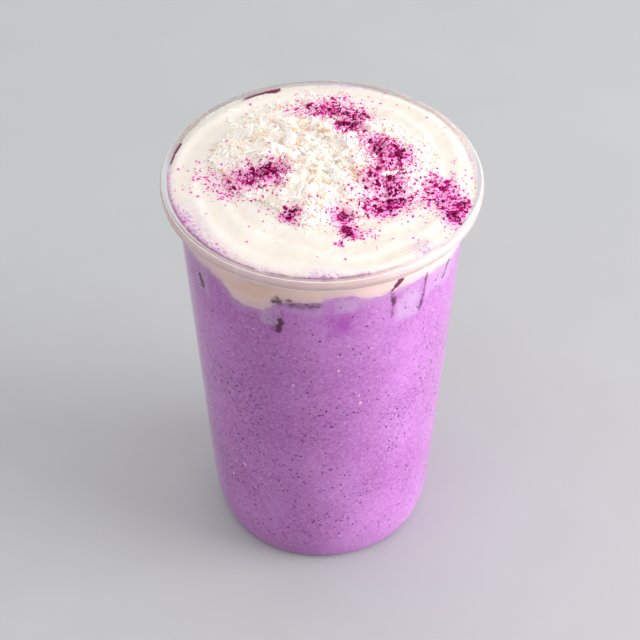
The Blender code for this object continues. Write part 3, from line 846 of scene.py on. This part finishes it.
def milk_foam_finish():
    """Cream-coloured foam: painted warm shade in its valleys, tan and mottled against the wall, stained at
    the rim.
    """
    finish = Finish("milk_foam")
    drift = finish.clouds(12 * MM, 3.0).rise(0.35, 0.7)
    colour = finish.blend(drift, rgb(242, 234, 224), rgb(245, 239, 231))
    # painted shade: warmer cream in the valleys between the ridges
    colour = finish.blend(finish.mask("valley_shade") * 0.4, colour, rgb(234, 222, 205))
    fleck = finish.clouds(1.3 * MM, 4.0, 0.7)
    dusted = (finish.mask("dust") * 0.9 + (fleck - 0.5) * 0.5).rise(0.12, 0.95)
    colour = finish.blend(dusted * 0.9, colour, rgb(255, 150, 232))
    stained = finish.mask("stain") * fleck.rise(0.3, 0.62)
    colour = finish.blend(stained * 0.85, colour, rgb(206, 148, 214))
    specks = finish.cells(1.1 * MM).rise(0.3, 0.18) * finish.mask("stain").rise(0.25, 0.7)
    colour = finish.blend(specks * 0.7, colour, rgb(150, 52, 146))
    side = finish.blend(finish.clouds(6 * MM, 3.0).rise(0.35, 0.65), rgb(247, 219, 206), rgb(245, 214, 217))
    above = finish.mask("above")
    mixed = (above + 5.0 * (finish.clouds(3.0 * MM, 4.0, 0.7) - 0.5)).rise(3.8, -0.6)
    side = finish.blend(mixed * 0.6, side, rgb(222, 188, 194))
    ragged = (above + 3.4 * (finish.clouds(1.6 * MM, 4.0, 0.7) - 0.5)).rise(1.1, -0.6)
    side = finish.blend(ragged * 0.6, side, rgb(204, 150, 202))
    hem = above.rise(-0.3, 0.1) * above.rise(1.0, 0.4) * finish.clouds(3 * MM).rise(0.4, 0.6)
    side = finish.blend(hem * 0.6, side, rgb(246, 210, 234))
    tan = finish.clouds(8 * MM, 2.0).rise(0.4, 0.65) * above.rise(2.0, 6.0)
    side = finish.blend(tan * 0.6, side, rgb(240, 204, 178))
    # taro stain and painted shade under the curl: darker pink foam in the neck, at the front
    neck_stain_shade = finish.mask("neck") * finish.clouds(7 * MM, 2.0).rise(0.1, 0.5)
    side = finish.blend(neck_stain_shade * 0.7, side, rgb(214, 152, 156))
    colour = finish.blend(finish.mask("at_wall"), colour, side)
    # painted shade: a dark line where the foam's skin meets the front of the cup
    seam_shade = finish.mask("seam_shade") * finish.clouds(5 * MM).rise(0.2, 0.5)
    colour = finish.blend(seam_shade, colour, rgb(142, 66, 108))
    # painted shade: dark streaks where the edges of ice touch the wall
    colour = finish.with_ice_shade(colour)
    smeared = (finish.mask("smear") + (fleck - 0.5) * 1.2).rise(0.3, 0.65)
    colour = finish.blend(smeared, colour, rgb(122, 0, 68))
    skin_bumps = finish.clouds(1.6 * MM, 3.0) + 0.35 * finish.clouds(0.5 * MM, 2.0)
    return finish.done(
        finish.principled(
            Base_Color=colour,
            Roughness=0.42 + 0.2 * fleck,
            Normal=finish.bump(skin_bumps, 0.1 * MM),
            Subsurface_Weight=0.35,
            Subsurface_Radius=(1.0, 0.8, 0.6),
            Subsurface_Scale=2.0 * MM,
        )
    )


foam_edge_height = CUP_HEIGHT - FOAM_EDGE_DROP
foam_rings = [layer_ring(share, -FOAM_OVERLAP) for share in LAYER_SHARES]
foot = LAYER_LINE - FOAM_OVERLAP
for share in np.linspace(0.0, 1.0, FOAM_SIDE_ROWS):
    height = foot + (foam_edge_height - foot) * share
    foam_rings.append(ring_at(inner_radius(height) + FOAM_PROUD, height))
foam_edge = float(inner_radius(foam_edge_height)) + FOAM_PROUD
for share in np.linspace(1.0, 0.0, FOAM_TOP_ROWS)[1:]:
    radius = foam_edge * share
    level = ring_at(radius, 0.0)
    foam_rings.append(ring_at(radius, foam_top(level[:, 0], level[:, 1])))
foam_marks = {
    "dust": dust_amount, "clumps": clump_amount, "stain": edge_stain, "smear": rim_smear, "valley_shade": valley_shade,
    "at_wall": at_wall, "above": above_layer, "seam_shade": rim_seam_shade, "neck": neck_stain_and_shade, "ice": ice_edge_shade,
}
foam_mesh = skin("milk_foam", np.array(foam_rings), milk_foam_finish(), foam_marks)
shown("milk_foam_cap", foam_mesh, "milk_foam", "milk_foam")


# The heap of grated coconut: moist white crumbs and short shreds, some with the tan of the skin,
# spooned on the foam. They lie over a core of the heap's own form.
HEAP_HEIGHT = 6.2 * MM
HEAP_EDGE = 1.1 * MM
HEAP_LUMPS = ((2.6 * MM, 5.0 * MM, 5.5 * MM), (1.6 * MM, 0.0, 2.6 * MM))  # height, layer of noise, width
CORE_SINK = 0.5 * MM  # the core's top under the heap's, as crumbs lie over it
CORE_STEPS = 256
CORE_ROWS = 72
CORE_FOOT_SHARES = (0.98, 0.5, 0.0)  # rings of its underside
COCONUT_TONE = 0.3  # tone of what has no crumbs of its own
CRUMB_SIZE = (0.9 * MM, 3.1 * MM)
CRUMBS_PER_AREA = 2.1 / MM**2
FLAKES = (  # x, y, length, width, in mm, turn and lean in degrees: long flakes that lie on top of the heap
    (7.2, 6.2, 4.6, 2.4, 74.0, 30.0),
    (1.8, 18.4, 3.2, 1.8, 10.0, 20.0),
    (18.6, -3.4, 3.8, 1.9, 12.0, 26.0),
    (-3.6, 9.4, 3.8, 1.6, -18.0, 16.0),
    (9.6, -1.6, 3.4, 1.5, 62.0, 20.0),
)
FLAKE_LIFT = 0.5 * MM
FLAKE_THICKNESS = 0.9 * MM
FLAKE_BOW = 0.5
FLAKE_ROUGHNESS = 1.3
FLAKE_SEED = 50.0
FLAKE_DUST = 0.5
STRAY_CRUMBS_PER_AREA = 1.5 / MM**2
STRAY_LARGEST = 1.7 * MM
STRAY_FRINGE = 0.06  # width of the fringe round the heap, as a share of its outline
STRAY_PATCHES = (  # x, y, half length, half width in mm: thin cover on the foam beyond the heap
    (-9.0, 30.5, 6.0, 3.2), (-1.0, 31.5, 7.0, 3.0), (8.0, 29.0, 6.0, 3.2), (-20.0, 24.5, 4.6, 3.2),
)


def heap_share(x, y):
    """0 at the heap's middle, 1 on its outline."""
    return np.hypot(x, y) / heap_outline(np.arctan2(x, -y))


def heap_top(x, y):
    """Height of the heap's surface, inside its outline."""
    share = np.minimum(heap_share(x, y), 1.0)
    rise = HEAP_EDGE + (HEAP_HEIGHT - HEAP_EDGE) * (1.0 - share**2) ** 0.8
    lumps = sum(height * noise_at(x, y, layer, width) for height, layer, width in HEAP_LUMPS)
    return foam_top(x, y) + rise + lumps * (1.0 - share**4)


def everywhere(value):
    """A mark with one value at all points."""
    return lambda points: np.full(len(points), value)


def stray_cover(points):
    """Crumbs that have slipped off the heap, thinning out over the foam beside it."""
    x, y = points[:, 0], points[:, 1]
    share = heap_share(x, y)
    cover = np.exp(-(((share - 1.0) / STRAY_FRINGE) ** 2))
    for middle_x, middle_y, half_x, half_y in STRAY_PATCHES:
        cover += np.exp(-(((x / MM - middle_x) / half_x) ** 2) - ((y / MM - middle_y) / half_y) ** 2)
    return np.minimum(cover, 1.0) * near_top(points, STRAY_DEPTH) * (share > 1.0 - STRAY_FRINGE)


def coconut_finish(name, pale):
    """Moist coconut: white to cream by the crumb's tone, some tan, pink where powder has bled in."""
    finish = Finish(name)
    tone = finish.mask("tone")
    patch = finish.clouds(7 * MM, 2.0)
    colour = finish.blend(tone.rise(0.0, 0.45), rgb(252, 234, 216), pale)
    colour = finish.blend(patch.rise(0.5, 0.72) * 0.5, colour, rgb(248, 226, 200))
    colour = finish.blend(tone.rise(0.1, 0.05) * patch.rise(0.4, 0.6), colour, rgb(244, 194, 160))
    dusted = (finish.mask("dust") + (finish.clouds(1.2 * MM, 3.0) - 0.5) * 0.6).rise(0.25, 1.1)
    colour = finish.blend(dusted * 0.8, colour, rgb(255, 146, 226))
    return finish.done(
        finish.principled(
            Base_Color=colour,
            Roughness=0.35 + 0.3 * patch,
            Normal=finish.bump(finish.clouds(0.4 * MM, 2.0), 0.06 * MM),
        )
    )


def shred(name, length, width, bow):
    """A short bowed strip of coconut, of this length and width as shares of a crumb's size."""
    shape = bmesh.new()
    bmesh.ops.create_cube(shape, size=1.0)
    lengthwise = [edge for edge in shape.edges if abs(edge.verts[0].co.x - edge.verts[1].co.x) > 0.5]
    bmesh.ops.subdivide_edges(shape, edges=lengthwise, cuts=2)
    for vertex in shape.verts:
        x, y, z = vertex.co
        vertex.co = (x * length, y * width * (1.0 - 0.5 * abs(x)), z * width * 0.55 + bow * (0.25 - x * x))
    return bpy.data.objects.new(name, kept(name, shape))


core_around = np.linspace(-math.pi, math.pi, CORE_STEPS, endpoint=False)
core_outline = heap_outline(core_around)


def core_ring(share, top):
    """A ring just under the heap's or the foam's top, at this share of the heap's outline."""
    radius = core_outline * share
    x, y = radius * np.sin(core_around), -radius * np.cos(core_around)
    return np.stack([x, y, top(x, y) - CORE_SINK], axis=1)


core_rings = [core_ring(share, heap_top) for share in np.linspace(0, 1, CORE_ROWS)]
core_rings += [core_ring(share, foam_top) for share in CORE_FOOT_SHARES]
white = rgb(254, 250, 245)
core_marks = {
    "dust": dust_amount, "clumps": clump_amount, "cover": everywhere(1.0), "tone": everywhere(COCONUT_TONE),
}
core_mesh = skin("coconut_core", np.array(core_rings), coconut_finish("coconut_core", white), core_marks)
shown("coconut_core", core_mesh, "grated_coconut", "grated_coconut")

crumb_shapes = shapes(
    "crumb shapes",
    [
        lump("crumb_a", (1.0, 0.72, 0.55), 0.9, 11.0),
        lump("crumb_b", (0.9, 0.6, 0.34), 1.0, 12.0),
        lump("crumb_c", (0.7, 0.55, 0.5), 1.1, 13.0),
        lump("crumb_d", (1.0, 0.45, 0.3), 0.9, 14.0),
        lump("crumb_e", (0.6, 0.6, 0.6), 1.0, 15.0),
        shred("shred_a", 1.3, 0.36, 0.4),
        shred("shred_b", 1.5, 0.3, -0.3),
    ],
)
crumb_settings = {
    "Shapes": crumb_shapes, "Evenness": 1.8, "Tilt": 0.5, "Facing": 0.05,
    "Smallest": CRUMB_SIZE[0], "Largest": CRUMB_SIZE[1], "Material": coconut_finish("coconut", white),
}
heap_settings = {**crumb_settings, "Mask": "cover", "Density": CRUMBS_PER_AREA, "Sink": 0.0, "Seed": 21}
heap_crumbs = scattered("coconut_crumbs", core_mesh, heap_settings)
shown("coconut_crumbs", heap_crumbs, "grated_coconut")

flakes = bmesh.new()
for number, (x, y, length, width, turn, lean) in enumerate(FLAKES):
    stretch = (length * MM, width * MM, FLAKE_THICKNESS)
    flake = lump("flake", stretch, FLAKE_ROUGHNESS, FLAKE_SEED + number, 3).data
    for vertex in flake.vertices:
        vertex.co.z += FLAKE_BOW * length * MM * (vertex.co.x / (length * MM)) ** 2
    height = float(heap_top(np.array([x * MM]), np.array([y * MM]))[0]) + FLAKE_LIFT
    turned_by = Euler((math.radians(lean), 0.0, math.radians(turn))).to_matrix().to_4x4()
    flake.transform(Matrix.Translation((x * MM, y * MM, height)) @ turned_by)
    flakes.from_mesh(flake)
flake_mesh = kept("coconut_flakes", flakes)
flake_mesh.shade_smooth()
flake_mesh.materials.append(coconut_finish("coconut_flake", white))
for label, value in (("tone", COCONUT_TONE), ("dust", FLAKE_DUST)):
    mark(flake_mesh, label, np.full(len(flake_mesh.vertices), value))
shown("coconut_flakes", flake_mesh, "grated_coconut")

mark(foam_mesh, "stray", stray_cover(np.array([vertex.co for vertex in foam_mesh.vertices])))
stray_settings = {
    **crumb_settings, "Mask": "stray", "Largest": STRAY_LARGEST, "Sink": -0.1,
    "Density": STRAY_CRUMBS_PER_AREA, "Seed": 22,
}
stray_crumbs = scattered("stray_crumbs", foam_mesh, stray_settings)
shown("stray_crumbs", stray_crumbs, "grated_coconut")


# The purple yam powder: dusted on last through a sieve, in drifts, with moist clumps at their
# middles that have gone nearly black.
POWDER = (  # kind, where it lies, smallest, largest, density, material, dry and moist colour
    ("grains", "dust", 0.3 * MM, 1.15 * MM, 5.0 / MM**2, "yam_powder", rgb(240, 46, 176), rgb(176, 2, 102)),
    ("clumps", "clumps", 0.9 * MM, 2.2 * MM, 1.5 / MM**2, "yam_clumps", rgb(164, 2, 98), rgb(88, 0, 42)),
)
POWDERED = (  # what powder lies on, the share of it that sticks there, and the slot
    ("foam", foam_mesh, 1.0, "milk_foam"),
    ("coconut", heap_crumbs, 0.5, "grated_coconut"),
    ("stray", stray_crumbs, 0.5, "grated_coconut"),
)


def powder_finish(name, dry, moist):
    """Yam powder: dark red-purple where it is moist and lies thick, strong magenta where thin."""
    finish = Finish(name)
    tone = finish.mask("tone")
    thick = (finish.mask("dust") + (tone - 0.5) * 0.9).rise(0.2, 1.5)
    colour = finish.blend(thick, dry, moist)
    grit = finish.clouds(0.25 * MM, 2.0)
    return finish.done(
        finish.principled(
            Base_Color=colour,
            Roughness=0.55 + 0.3 * grit,
            Normal=finish.bump(grit, 0.05 * MM),
            Specular_IOR_Level=0.1,
        )
    )


grain_shapes = shapes(
    "grain shapes",
    [lump("grain_a", (1.0, 0.8, 0.6), 0.8, 31.0), lump("grain_b", (0.9, 0.9, 0.5), 1.0, 32.0)],
)
kinds = {
    kind: {
        "Shapes": grain_shapes, "Facing": 0.3, "Tilt": 0.4, "Sink": 0.05, "Evenness": 2.4, "Mask": mask,
        "Smallest": smallest, "Largest": largest, "Density": density,
        "Material": powder_finish(material, dry, moist),
    }
    for kind, mask, smallest, largest, density, material, dry, moist in POWDER
}
seed = 40
for surface_name, surface, share, slot in POWDERED:
    for kind, settings in kinds.items():
        seed += 1
        piece = f"powder_{kind}_on_{surface_name}"
        mesh = scattered(piece, surface, {**settings, "Density": settings["Density"] * share, "Seed": seed})
        shown(piece, mesh, slot)


# The studio: a pale floor, a large soft lamp low on the right, a weak one on the left, and even
# light from all round.
FLOOR_REACH = 4.0
CAMERA_ELEVATION = 41.806
CAMERA_DISTANCE = 0.81178
CAMERA_AIM = (-0.55 * MM, 0.0, 69.22 * MM)
CAMERA_LENS = 157.5
LAMPS = (  # name, azimuth, elevation, distance, size, power
    ("key", 78.0, 20.0, 0.9, 0.6, 7.2),
    ("fill", -62.0, 12.0, 1.1, 0.9, 1.3),
)
SKY_STRENGTH = 0.88


def from_aim(azimuth, elevation, distance):
    """A place at this azimuth, elevation and distance from what the camera is aimed at."""
    turn, rise = math.radians(azimuth), math.radians(elevation)
    out = Vector((math.sin(turn) * math.cos(rise), -math.cos(turn) * math.cos(rise), math.sin(rise)))
    return Vector(CAMERA_AIM) + out * distance


def floor_finish():
    finish = Finish("floor")
    colour = finish.blend(finish.clouds(40 * MM, 5.0), rgb(184, 185, 187), rgb(192, 193, 195))
    return finish.done(finish.principled(Base_Color=colour, Roughness=0.7 + 0.1 * finish.clouds(9 * MM)))


floor_shape = bmesh.new()
bmesh.ops.create_grid(floor_shape, x_segments=8, y_segments=8, size=FLOOR_REACH)
floor = linked("floor", kept("floor", floor_shape))
floor.data.materials.append(floor_finish())

world = bpy.data.worlds.new("studio")
world.use_nodes = True
world.node_tree.nodes["Background"].inputs["Color"].default_value = (1.0, 1.0, 1.0, 1.0)
world.node_tree.nodes["Background"].inputs["Strength"].default_value = SKY_STRENGTH
bpy.context.scene.world = world

for name, azimuth, elevation, distance, size, power in LAMPS:
    data = bpy.data.lights.new(name, "AREA")
    data.size = size
    data.energy = power
    lamp = linked(name, data)
    lamp.visible_camera = False
    lamp.location = from_aim(azimuth, elevation, distance)
    lamp.rotation_euler = (Vector(CAMERA_AIM) - lamp.location).to_track_quat("-Z", "Y").to_euler()

camera_data = bpy.data.cameras.new("camera")
camera_data.lens = CAMERA_LENS
camera_data.sensor_width = 36.0
camera_data.clip_start = 0.01
camera_data.clip_end = 20.0
camera = linked("camera", camera_data)
camera.location = from_aim(0.0, CAMERA_ELEVATION, CAMERA_DISTANCE)
camera.rotation_euler = (math.pi / 2 - math.radians(CAMERA_ELEVATION), 0.0, 0.0)
bpy.context.scene.camera = camera
bpy.context.scene.view_settings.view_transform = "Standard"
